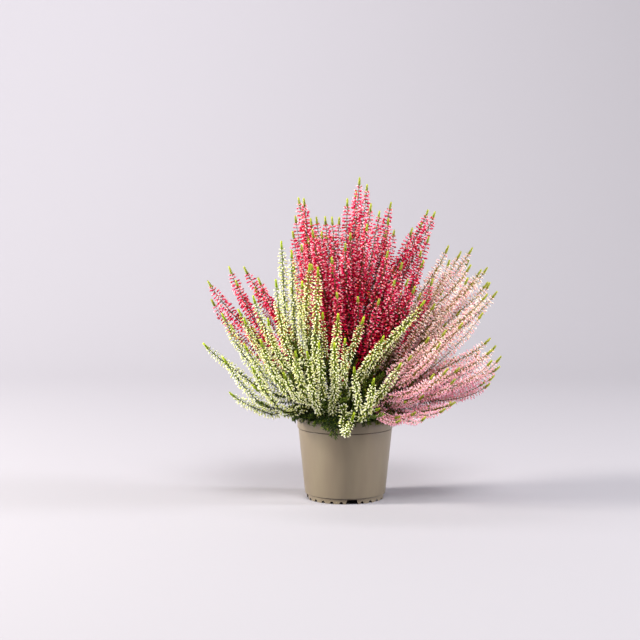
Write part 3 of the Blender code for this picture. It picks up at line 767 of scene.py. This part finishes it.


# Buds, leaves and bark

# the leafLowShade colours are partly painted shade on the low, inner leaves
looks = {
    "white": {
        "opensAt": 0.5,  # of the way up a bud, where its petals come out of the calyx
        "paleLow": 1.0,  # share of pale tips at the foot of a spike
        # the white's stalk colour is partly painted shade at the foot of each bud
        "stalk": "#68800E",
        "calyx": "#A0B41E",
        "lowSprays": "#FFFED6",  # the petals of the sprays low over the rim
        "petalLow": "#FFFFCE",
        "petalHigh": "#FFFEBC",
        "petalTip": "#FFFFEA",
        "warm": "#FFF6C0",  # a few buds turn to this, a few to the cool one, many to the deep one
        "cool": "#FCFFCC",
        "deep": "#D2D05C",
        "bark": "#5A5C24",
        "leafLowShade": "#143006",
        "leafMid": "#64800A",
        "leafTop": "#C2D42C",
    },
    "red": {
        "opensAt": 0.42,
        "paleLow": 0.0,
        "stalk": "#602C1C",
        "calyx": "#A80634",
        "lowSprays": "#DA0042",
        "petalLow": "#DC003E",
        "petalHigh": "#FF3068",
        "petalTip": "#FFF2F2",
        "warm": "#F83A34",
        "cool": "#F40C70",
        "deep": "#980028",
        "bark": "#6E6240",
        "leafLowShade": "#22400C",
        "leafMid": "#66761C",
        "leafTop": "#B9C03E",
    },
    "pink": {
        "opensAt": 0.42,
        "paleLow": 0.8,
        "stalk": "#A8903A",
        "calyx": "#FFDCBC",
        "lowSprays": "#FFA0C0",
        "petalLow": "#FFDCD0",
        "petalHigh": "#FFEEDA",
        "petalTip": "#FFFFFC",
        "warm": "#FFE8C6",
        "cool": "#FFACC8",
        "deep": "#FFB0BE",
        "bark": "#A08454",
        "leafLowShade": "#2A400E",
        "leafMid": "#8A8420",
        "leafTop": "#BCC040",
    },
}
spike = {
    "white": {"reach": 7.9, "pitch": 3.4, "perWhorl": 6, "budR": 0.95, "droop": -18.0, "inner": 0.08},
    "red": {"reach": 8.8, "pitch": 3.6, "perWhorl": 8, "budR": 1.25, "droop": -6.0, "inner": 0.2},
    "pink": {"reach": 8.4, "pitch": 3.45, "perWhorl": 8, "budR": 1.05, "droop": -4.0, "inner": 0.25},
}
bud = {
    "outline": [(0.0, 0.0), (0.32, 0.42), (1.0, 0.74), (0.0, 1.0)],  # (width, height) of one bud
    "sides": 4,
    "sideSpikeSides": 3,
    "tipPitch": 4.6,  # between the whorls nearest the tip
    "pitchFades": 25.0,  # mm from the tip
    "stray": 0.6,
    "lengthSpread": (0.84, 1.03),
    "widthSpread": (0.85, 1.12),
    "tiltSpread": 12.0,
    "innerReach": (0.6, 0.8),
    "tipReach": ([0.0, 5.0, 14.0, 36.0], [0.48, 0.72, 0.92, 1.0]),  # share of the reach by mm to the tip
    "tipWidth": ([0.0, 16.0], [0.7, 1.0]),
    "tipLift": ([0.0, 25.0], [32.0, 0.0]),
    "shortSpike": ([20.0, 70.0], [0.5, 1.0]),  # share of the reach by the spike's length
    "sag": 0.1,
    "lowSprays": (210.0, 140.0),  # heights between which the colour turns to that of the low sprays
}
leaf = {
    "outline": [(0.0, 0.0), (1.0, 0.38), (0.0, 1.0)],
    "sides": 3,
    "flat": 0.5,
    "width": 0.85,
    "lengthSpread": (0.75, 1.15),
    "widthSpread": (0.85, 1.2),
    "tilt": 10.0,  # degrees, either way
    "inTip": 3.2,  # per mm of the green tip
    "tipLeaf": 3.2,
    "tipWidth": 0.9,
    "tipLength": 9.0,
    "tipLift": (48.0, 70.0),  # degrees out of the stem's side, from the tip's foot to its end
}
leafRows = {  # how many leaves a mm of stem bears, how long they are and their degrees out of its side
    "stem": {"perMm": 1.15, "length": 5.28, "lift": 42.0},
    "sideSpike": {"perMm": 1.15, "length": 4.8, "lift": 42.0},
    "twig": {"perMm": 1.38, "length": 4.8, "lift": 45.0},
    "overRim": {"perMm": 2.2, "length": 5.0, "lift": 40.0},
    "white": {"perMm": 0.6, "length": 4.8, "lift": 35.0},  # these three among the buds of the spikes
    "red": {"perMm": 0.18, "length": 4.8, "lift": 35.0},
    "pink": {"perMm": 0.55, "length": 4.8, "lift": 35.0},
}
stem = {
    "baseR": 1.5,
    "tipR": 0.4,
    "sideR": 0.8,
    "twigR": 0.5,
    "endR": 0.28,
    "sides": 6,
    "twigSides": 4,
    "oldToYoung": (90.0, 350.0),  # heights between which the bark gets paler
}
twig = {
    "perShoot": 4,
    "from": 0.22,  # of the leafy stem
    "to": 0.3,  # of the spike
    "length": (20.0, 42.0),
    "spread": (28.0, 55.0),  # degrees off the stem
    "curl": 0.45,
    "reach": 0.85,  # of its own spray's buds
    "room": 5.0,  # kept from the pot
    "flowering": {"white": 0.12, "red": 0.5, "pink": 0.6},
    "lowestTip": 160.0,  # none on the small sprays low over the rim
    "lowestOutside": 84.0,  # beside the pot
    "lineStep": 3.0,
}
lateral = {
    "perShoot": {"white": 1, "red": 2, "pink": 3},
    "from": 0.35,  # of the leafy stem, where the first leaves it
    "to": 0.85,
    "top": (0.62, 0.93),  # how far up beside its own spray it ends
    "lowestTip": {"white": 235.0, "red": 160.0, "pink": 120.0},  # none on sprays that end below it
    "aside": (11.0, 24.0),
    "leafy": 0.42,  # of its length
    "reach": 0.92,  # of its own spray's buds
    "room": 6.0,
    "tries": 14,
}
golden = math.radians(137.508)


def shapeOf(settings):
    # one bud or leaf standing on the origin, one unit high, in triangles
    bm = turned(settings["outline"], settings["sides"])
    bmesh.ops.scale(bm, vec=(1.0, settings.get("flat", 1.0), 1.0), verts=bm.verts)
    bmesh.ops.triangulate(bm, faces=bm.faces)
    bm.verts.index_update()
    verts = np.array([v.co[:] for v in bm.verts])
    faces = np.array([[v.index for v in f.verts] for f in bm.faces])
    bm.free()
    return verts, faces


def sample(line, at):
    # position and frame of a line at each distance along it
    far = lengths(line["points"])
    picked = []
    for path in (line["points"], *line["frames"]):
        picked.append(np.stack([np.interp(at, far, path[:, k]) for k in range(3)], axis=1))
    return picked


def normalised(vectors):
    return vectors / np.maximum(np.linalg.norm(vectors, axis=1), 1e-9)[:, None]


def stamp(spray, kind, roots, heading, lengthOf, widthOf, place):
    # copies of a bud or a leaf, one for each root, that point along their headings
    verts, faces = spray["shapes"][kind]
    rng, count = spray["rng"], len(roots)
    heading = normalised(heading)
    aside = normalised(np.cross(heading, normalised(rng.normal(size=(count, 3)))))
    third = np.cross(heading, aside)
    local = verts[None] * np.stack([widthOf, widthOf, lengthOf], axis=1)[:, None]
    places = (
        roots[:, None]
        + local[:, :, :1] * aside[:, None]
        + local[:, :, 1:2] * third[:, None]
        + local[:, :, 2:] * heading[:, None]
    )
    paint = np.ones((count, len(verts), 4))
    paint[:, :, 0] = verts[None, :, 2]
    paint[:, :, 1] = rng.uniform(size=count)[:, None]
    paint[:, :, 2] = place[:, None]
    paint[:, :, 3] = rng.uniform(size=count)[:, None]
    corners = faces[None] + (np.arange(count) * len(verts))[:, None, None]
    pile, slot = ("leaves", 1) if kind == "leaf" else ("buds", 0)
    spray[pile].append((places.reshape(-1, 3), corners.reshape(-1, 3), paint.reshape(-1, 4), slot))


def tube(lines, sides):
    # stems along lines of points, each with its radii
    curve = bpy.data.curves.new("stems", "CURVE")
    curve.dimensions = "3D"
    curve.bevel_depth = 1.0
    curve.bevel_resolution = sides // 2 - 2
    curve.use_fill_caps = True
    for points, radii in lines:
        spline = curve.splines.new("POLY")
        spline.points.add(len(points) - 1)
        spline.points.foreach_set("co", np.c_[points, np.ones(len(points))].ravel())
        spline.points.foreach_set("radius", np.array(radii, float))
    carrier = bpy.data.objects.new("stems", curve)
    mesh = bpy.data.meshes.new_from_object(carrier)
    bm = bmesh.new()
    bm.from_mesh(mesh)
    bmesh.ops.triangulate(bm, faces=bm.faces)
    bmesh.ops.recalc_face_normals(bm, faces=bm.faces)
    bm.verts.index_update()
    places = np.array([v.co[:] for v in bm.verts])
    corners = np.array([[v.index for v in f.verts] for f in bm.faces])
    bm.free()
    bpy.data.objects.remove(carrier)
    bpy.data.curves.remove(curve)
    bpy.data.meshes.remove(mesh)
    paint = np.full((len(places), 4), 0.5)
    paint[:, 2] = np.interp(places[:, 2], stem["oldToYoung"], [0.0, 1.0])
    return places, corners, paint, 0


def addPiece(name, parts, materials):
    # one mesh piece out of stems, leaves or buds, painted with where each point is in its growth
    counts = np.cumsum([0] + [len(places) for places, _, _, _ in parts])
    places = np.concatenate([p[0] for p in parts])
    corners = np.concatenate([p[1] + start for p, start in zip(parts, counts)])
    paint = np.concatenate([p[2] for p in parts])
    slots = np.concatenate([np.full(len(p[1]), p[3]) for p in parts])
    places = (places + np.array([*potAt, 0.0])) * mm
    mesh = bpy.data.meshes.new(name)
    mesh.vertices.add(len(places))
    mesh.vertices.foreach_set("co", places.ravel())
    mesh.loops.add(corners.size)
    mesh.loops.foreach_set("vertex_index", corners.ravel())
    mesh.polygons.add(len(corners))
    mesh.polygons.foreach_set("loop_start", np.arange(0, corners.size, 3))
    mesh.polygons.foreach_set("material_index", slots)
    mesh.update(calc_edges=True)
    mesh.shade_smooth()
    mesh.attributes.new("growth", "FLOAT_COLOR", "POINT").data.foreach_set("color", paint.ravel())
    for one in materials:
        mesh.materials.append(one)
    made = addThing(name, mesh)
    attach(made, "root")
    return made


def growthPaint(tree):
    # how far up the bud or leaf, a chance value of its own, its place on the plant and a chance hue
    paint = addNode(tree, "Attribute", {"attribute_name": "growth"})
    split = addNode(tree, "SeparateColor", {"Color": paint}).node.outputs
    return split["Red"], split["Green"], split["Blue"], paint.node.outputs["Alpha"]


def papery(name, look):
    # dry papery buds: matt with a slight silk, green at the calyx, paler where the tips have opened
    made, tree, shader = newMaterial(name + "_papery_bud")
    along, chance, place, hue = growthPaint(tree)
    height = addNode(tree, "SeparateXYZ", {"Vector": addNode(tree, "TexCoord", {}, "Object")}, "Z")
    pale = addNode(tree, "MapRange", {"Value": place, "From Max": 0.7, "To Min": look["paleLow"]})
    for driver, start, full in ((chance, 0.3, 0.75), (along, 0.62, 0.98)):
        share = addNode(tree, "MapRange", {"Value": driver, "From Min": start, "From Max": full})
        pale = addNode(tree, "Math", {"operation": "MULTIPLY", 0: share, 1: pale})
    top, foot = (z * mm for z in bud["lowSprays"])
    petal = paintOver(tree, look["petalLow"], [
        (place, 0.25, 0.95, 1.0, look["petalHigh"]),
        (hue, 0.6, 0.95, 0.8, look["warm"]),
        (hue, 0.4, 0.05, 0.8, look["cool"]),
        (height, top, foot, 0.85, look["lowSprays"]),
        (chance, 0.55, 0.0, 0.75, look["deep"]),
        (pale, 0.0, 1.0, 1.0, look["petalTip"]),
    ])
    opens = look["opensAt"]
    # each bud's foot, where it meets the stem, takes the stalk colour: partly its green stalk, partly
    # painted shade, darkest for the white
    colour = paintOver(tree, look["stalk"], [
        (along, opens - 0.14, opens, 1.0, look["calyx"]),
        (along, opens, opens + 0.16, 1.0, petal),
    ])
    setNode(tree, shader, {"Base Color": colour, "Roughness": 0.7, "Specular IOR Level": 0.08})
    return made


def leafGreen(name, look):
    # waxy scale leaves: dark and dull low down, partly their older green and partly painted shade, yellow
    # green and a little glossy at the tips
    made, tree, shader = newMaterial(name + "_scale_leaf")
    _, chance, place, _ = growthPaint(tree)
    # the low, inner leaves get the darkest green: partly their own older colour, partly painted shade for
    # the inside of the bush
    green = paintOver(tree, look["leafLowShade"], [
        (place, 0.4, 0.75, 1.0, look["leafMid"]),
        (place, 0.75, 0.95, 1.0, look["leafTop"]),
        (chance, 0.6, 1.0, 0.3, look["leafTop"]),
        (chance, 0.35, 0.0, 0.5, look["leafLowShade"]),
    ])
    setNode(tree, shader, {"Base Color": green, "Roughness": 0.55, "Specular IOR Level": 0.25})
    return made


def heatherBark(name, look):
    # young woody stems: thin flaking bark, fine ridges of about 1.5 mm along it, older and darker low down
    made, tree, shader = newMaterial(name + "_bark")
    place = growthPaint(tree)[2]
    at = addNode(tree, "TexCoord", {}, "Object")
    ridge = addNode(tree, "TexNoise", {"Scale": 700.0, "Detail": 4.0, "Vector": at})
    layers = [(place, 0.1, 0.6, 1.0, look["bark"]), (ridge, 0.4, 0.7, 0.6, look["stalk"])]
    setNode(tree, shader, {
        "Base Color": paintOver(tree, "#3A2A1C", layers),
        "Roughness": 0.75,
        "Specular IOR Level": 0.3,
        "Normal": addNode(tree, "Bump", {"Strength": 0.5, "Distance": 0.0003, "Height": ridge}),
    })
    return made


def spiral(start, end, count, rng, jitter):
    # places up a line and turns round it, in the spiral that buds and leaves grow in
    at = start + (np.arange(count) + rng.uniform(-jitter, jitter, count)) * (end - start) / max(count, 1)
    turn = np.arange(count) * golden + rng.uniform(-0.35, 0.35, count) + rng.uniform(0, 6.28)
    return at, turn


def outward(line, at, turn, lift):
    # roots on a line with the way out of it at each turn, lifted towards its tip by lift radians
    centre, along, across, over = sample(line, at)
    out = np.cos(turn)[:, None] * across + np.sin(turn)[:, None] * over
    heading = np.cos(lift)[:, None] * out + np.sin(lift)[:, None] * along
    return centre, heading


def addLeaves(spray, line, start, end, where, place):
    # scale leaves round a stem; place is how young they are at its two ends, and low places also get
    # painted shade
    rng, row = spray["rng"], leafRows[where]
    count = max(int((end - start) * row["perMm"]), 3)
    at, turn = spiral(start, end, count, rng, 0.5)
    angle = np.radians(row["lift"] + rng.uniform(-leaf["tilt"], leaf["tilt"], count))
    roots, heading = outward(line, at, turn, angle)
    size = row["length"] * rng.uniform(*leaf["lengthSpread"], count)
    width = leaf["width"] * rng.uniform(*leaf["widthSpread"], count)
    stamp(spray, "leaf", roots, heading, size, width, np.interp(at, [start, end], place))


def addTip(spray, line, start, end):
    # the leafy growing point: leaves pressed along the stem, the last ones straight on
    count = int((end - start) * leaf["inTip"])
    at, turn = spiral(start, end - 1.6, count, spray["rng"], 0.4)
    share = (at - start) / (end - start)
    low, high = leaf["tipLift"]
    roots, heading = outward(line, at, turn, np.radians(low + (high - low) * share))
    size = np.minimum(leaf["tipLeaf"] * (1.1 - 0.25 * share), end - at)
    stamp(spray, "leaf", roots, heading, size, np.full(count, leaf["tipWidth"]), 0.8 + 0.2 * share)


def addBuds(spray, line, start, end, full, shape):
    # whorls of buds round the stem, the last ones before the tip smaller and wider apart
    rng, kind = spray["rng"], spike[spray["variety"]]
    rings = [start]
    while rings[-1] < end:
        fade = [0.0, bud["pitchFades"]]
        rings.append(rings[-1] + np.interp(end - rings[-1], fade, [bud["tipPitch"], kind["pitch"]]))
    perRing = kind["perWhorl"]
    at = np.repeat(rings[:-1], perRing)
    count = len(at)
    turn = np.arange(count) * 2 * math.pi / perRing
    turn += np.repeat(rng.uniform(0, 6.28, len(rings) - 1), perRing)
    turn += rng.uniform(-0.4, 0.4, count)
    left = end - at
    at = np.clip(at + rng.uniform(-1, 1, count) * bud["stray"], start, end)
    reach = full * kind["reach"] * np.interp(left, *bud["tipReach"])
    reach *= rng.uniform(*bud["lengthSpread"], count)
    inner = rng.uniform(size=count) < kind["inner"]
    reach = np.where(inner, reach * rng.uniform(*bud["innerReach"], count), reach)
    reach *= np.interp(end - start, *bud["shortSpike"])
    share = np.clip((at - start) / (end - start), 0.0, 1.0)
    lift = kind["droop"] + np.interp(left, *bud["tipLift"])
    lift += rng.uniform(-1, 1, count) * bud["tiltSpread"]
    roots, heading = outward(line, at, turn, np.radians(lift))
    width = kind["budR"] * rng.uniform(*bud["widthSpread"], count) * np.interp(left, *bud["tipWidth"])
    stamp(spray, shape, roots, heading - bud["sag"] * up, reach, width, share)


# Putting a spray together

crownLeaves = {
    "count": 130,
    "standR": 32.0,  # where the stems they grow from are looked for
    "overRim": (5.0, 9.0),
    "pastRim": (7.0, 14.0),
    "endHeight": (-4.0, 8.0),  # over the rim
    "apron": {"at": 260.0, "spread": 12.0, "drop": 22.0},  # the tuft that hangs over the collar in front
}


def lineOf(points):
    return {"points": points, "frames": crossFrames(points)}


def twigLine(start, heading, length, curl):
    t = np.linspace(0.0, 1.0, max(int(length / twig["lineStep"]), 4))[:, None]
    return start + length * (t * heading + 0.5 * curl * t * t * up)


def clearOfPot(points, reach):
    r = np.linalg.norm(points[:, :2], axis=1)
    z = points[:, 2]
    inside = (r < pot["rimR"] - pot["wall"] - reach - 1.0) & (z > peat["z"] + 2.0)
    outside = (r > pot["rimR"] + reach + 1.0) & (z > twig["lowestOutside"])
    return bool(np.all(inside | outside | (z > pot["rimZ"] + reach)))


def addTwigs(spray, shoot, line):
    # short side shoots: leafy ones low down, flowering ones near the foot of the spike
    rng, end = spray["rng"], lengths(line["points"])[-1]
    first = twig["from"] * shoot["from"]
    last = shoot["from"] + twig["to"] * (end - shoot["from"])
    made = 0
    for _ in range(4 * twig["perShoot"]):
        if made == twig["perShoot"]:
            break
        at = np.array([rng.uniform(first, last)])
        turn = np.array([rng.uniform(0, 2 * math.pi)])
        lift = np.radians([90.0 - rng.uniform(*twig["spread"])])
        root, heading = outward(line, at, turn, lift)
        length = rng.uniform(*twig["length"])
        points = twigLine(root[0], unit(heading[0]), length, twig["curl"])
        if not clearOfPot(points[1:], twig["room"]):
            continue
        made += 1
        small, tip = lineOf(points), lengths(points)[-1]
        spray["twigs"].append((points, np.linspace(stem["twigR"], stem["endR"], len(points))))
        flowering = rng.uniform() < twig["flowering"][shoot["variety"]] and at[0] > 0.5 * shoot["from"]
        low = 0.25 + 0.3 * at[0] / end
        if flowering:
            addLeaves(spray, small, 1.0, 0.4 * length, "sideSpike", (low, 0.6))
            addBuds(spray, small, 0.3 * length, length - 6.0, twig["reach"], "sideBud")
            addTip(spray, small, length - 8.0, tip)
        else:
            addLeaves(spray, small, 0.5, tip - 1.5, "twig", (low, low + 0.3))


def makeSpray(spray, node, members, extra, materials):
    # a spray's two pieces: its buds, and its stems with their leaves
    variety = spray["variety"]
    for shoot in members:
        points, budsFrom = shoot["points"], shoot["from"]
        line, end = lineOf(points), lengths(points)[-1]
        isMain = shoot["main"] is None
        start = growth["leafyFrom"] * 0.5 if isMain else 2.0
        radii = np.linspace(stem["baseR"] if isMain else stem["sideR"], stem["tipR"], len(points))
        if isMain:
            points = np.concatenate([[points[0] - up * (peat["socketDepth"] - 1.0)], points])
            radii = np.concatenate([[radii[0]], radii])
        spray["trunks"].append((points[::2], radii[::2]))
        tip = end - leaf["tipLength"]
        addLeaves(spray, line, start, budsFrom + 4.0, "stem", (0.05, 0.55))
        addLeaves(spray, line, budsFrom, tip, variety, (0.6, 0.8))
        addTip(spray, line, tip - 3.0, end)
        addBuds(spray, line, budsFrom - 4.0, tip - 1.0, 1.0, "bud")
        if isMain and points[-1][2] > twig["lowestTip"]:
            addTwigs(spray, shoot, line)
        for points, budsFrom in shoot["laterals"]:
            beside, end = lineOf(points), lengths(points)[-1]
            tip = end - leaf["tipLength"]
            radii = np.linspace(stem["sideR"], stem["endR"], len(points[::2]))
            spray["twigs"].append((points[::2], radii))
            addLeaves(spray, beside, 1.0, budsFrom + 3.0, "sideSpike", (0.2, 0.55))
            addTip(spray, beside, tip - 2.0, end)
            addBuds(spray, beside, budsFrom, tip, lateral["reach"], "sideBud")
    for points in extra:
        hanging, end = lineOf(points), lengths(points)[-1]
        spray["twigs"].append((points, np.linspace(stem["twigR"], stem["endR"], len(points))))
        addLeaves(spray, hanging, 4.0, end - 1.0, "overRim", (0.05, 0.5))
    papers, greens, barks = materials
    blooms = addPiece(node + "_buds", spray["buds"], [papers])
    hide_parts(node)
    woods = [tube(spray["trunks"], stem["sides"])]
    if spray["twigs"]:
        woods.append(tube(spray["twigs"], stem["twigSides"]))
    greenery = addPiece(node + "_stems_and_leaves", spray["leaves"] + woods, [barks, greens])
    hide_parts(node)
    return len(blooms.data.polygons), len(greenery.data.polygons)


def addLaterals(shoots, rng):
    # side spikes that fill the bush: of a few tries for each, the one that keeps clearest of the rest
    taken = np.concatenate([s["points"] for s in shoots])
    for shoot in shoots:
        shoot["laterals"] = []
    for turn in range(max(lateral["perShoot"].values())):
        for shoot in shoots:
            points, variety = shoot["points"], shoot["variety"]
            enough = turn >= lateral["perShoot"][variety]
            if shoot["main"] is not None or enough or points[-1][2] < lateral["lowestTip"][variety]:
                continue
            far = lengths(points)
            best, clearest = None, -1.0
            for _ in range(lateral["tries"]):
                a = int(np.searchsorted(far, rng.uniform(lateral["from"], lateral["to"]) * shoot["from"]))
                b = int(np.searchsorted(far, rng.uniform(*lateral["top"]) * far[-1]))
                if b - a < 6:
                    continue
                way = rng.uniform(0, 2 * math.pi)
                aside = np.array([math.cos(way), math.sin(way), 0.0]) * rng.uniform(*lateral["aside"])
                end = points[b] + aside
                span = np.linalg.norm(end - points[a])
                leave = unit(unit(points[a + 1] - points[a]) + 0.8 * unit(aside)) * span
                arrive = unit(unit(points[b] - points[b - 1]) + 0.5 * up) * span
                tried = evenly(hermite(points[a], end, leave, arrive), twig["lineStep"])
                if not clearOfPot(tried[2:], lateral["room"]):
                    continue
                half = tried[len(tried) // 3::3]
                room = np.linalg.norm(half[:, None] - taken[None, ::2], axis=2).min(axis=1).mean()
                if room > clearest:
                    best, clearest = tried, room
            if best is None:
                continue
            taken = np.concatenate([taken, best])
            shoot["laterals"].append((best, lateral["leafy"] * lengths(best)[-1]))


def crownTwigs(shoots, rng):
    # leafy shoots from the foot of the nearest spray, which arch out over the rim all round
    feet = {s["node"]: s["points"] for s in shoots if s["main"] is None}
    names = list(feet)
    bases = np.array([feet[n][0] for n in names])
    extra = {name: [] for name in names}
    apron = crownLeaves["apron"]
    for i in range(crownLeaves["count"]):
        turn = 2 * math.pi * (i + rng.uniform(-0.4, 0.4)) / crownLeaves["count"]
        out = np.array([math.cos(turn), math.sin(turn), 0.0])
        nearest = int(np.argmin(np.linalg.norm(bases[:, :2] - crownLeaves["standR"] * out[:2], axis=1)))
        points = feet[names[nearest]]
        start = points[1] + rng.uniform(0.0, 1.0) * (points[2] - points[1])
        past = rng.uniform(*crownLeaves["pastRim"])
        over = out * (pot["rimR"] - 2.0) + up * (pot["rimZ"] + rng.uniform(*crownLeaves["overRim"]))
        inApron = math.exp(-(((math.degrees(turn) - apron["at"]) / apron["spread"]) ** 2))
        drop = rng.uniform(0.4, 1.0) * apron["drop"] * inApron
        endZ = pot["rimZ"] + rng.uniform(*crownLeaves["endHeight"]) - drop
        end = out * (pot["rimR"] + past) + up * endZ
        rise = np.linalg.norm(over - start)
        fall = np.linalg.norm(end - over)
        first = hermite(start, over, unit(out + 1.2 * up) * rise, unit(out) * rise)
        second = hermite(over, end, unit(out) * fall, unit(out - 0.6 * up) * fall)
        extra[names[nearest]].append(evenly(np.concatenate([first, second[1:]]), twig["lineStep"]))
    return extra


def makePlants():
    shoots = planShoots()
    settle(shoots)
    print("shoots planned:", len(shoots))
    rng = np.random.default_rng(77)
    addLaterals(shoots, rng)
    sideBud = shapeOf({**bud, "sides": bud["sideSpikeSides"]})
    shapes = {"bud": shapeOf(bud), "sideBud": sideBud, "leaf": shapeOf(leaf)}
    materials = {n: (papery(n, k), leafGreen(n, k), heatherBark(n, k)) for n, k in looks.items()}
    extra = crownTwigs(shoots, rng)
    nodes = {}
    for shoot in shoots:
        nodes.setdefault(shoot["node"], []).append(shoot)
    faces = []
    for node, members in nodes.items():
        variety = members[0]["variety"]
        spray = {"variety": variety, "shapes": shapes, "rng": rng}
        spray.update({pile: [] for pile in ("buds", "leaves", "trunks", "twigs")})
        faces.append(makeSpray(spray, node, members, extra[node], materials[variety]))
    budFaces, greenFaces = np.array(faces).sum(axis=0)
    print(f"{len(nodes)} sprays made: {budFaces} triangles of buds, {greenFaces} of leaves and stems")


setCamera()
setLamps()
makeBackdrop()
makePot()
makePeat()
makePlants()
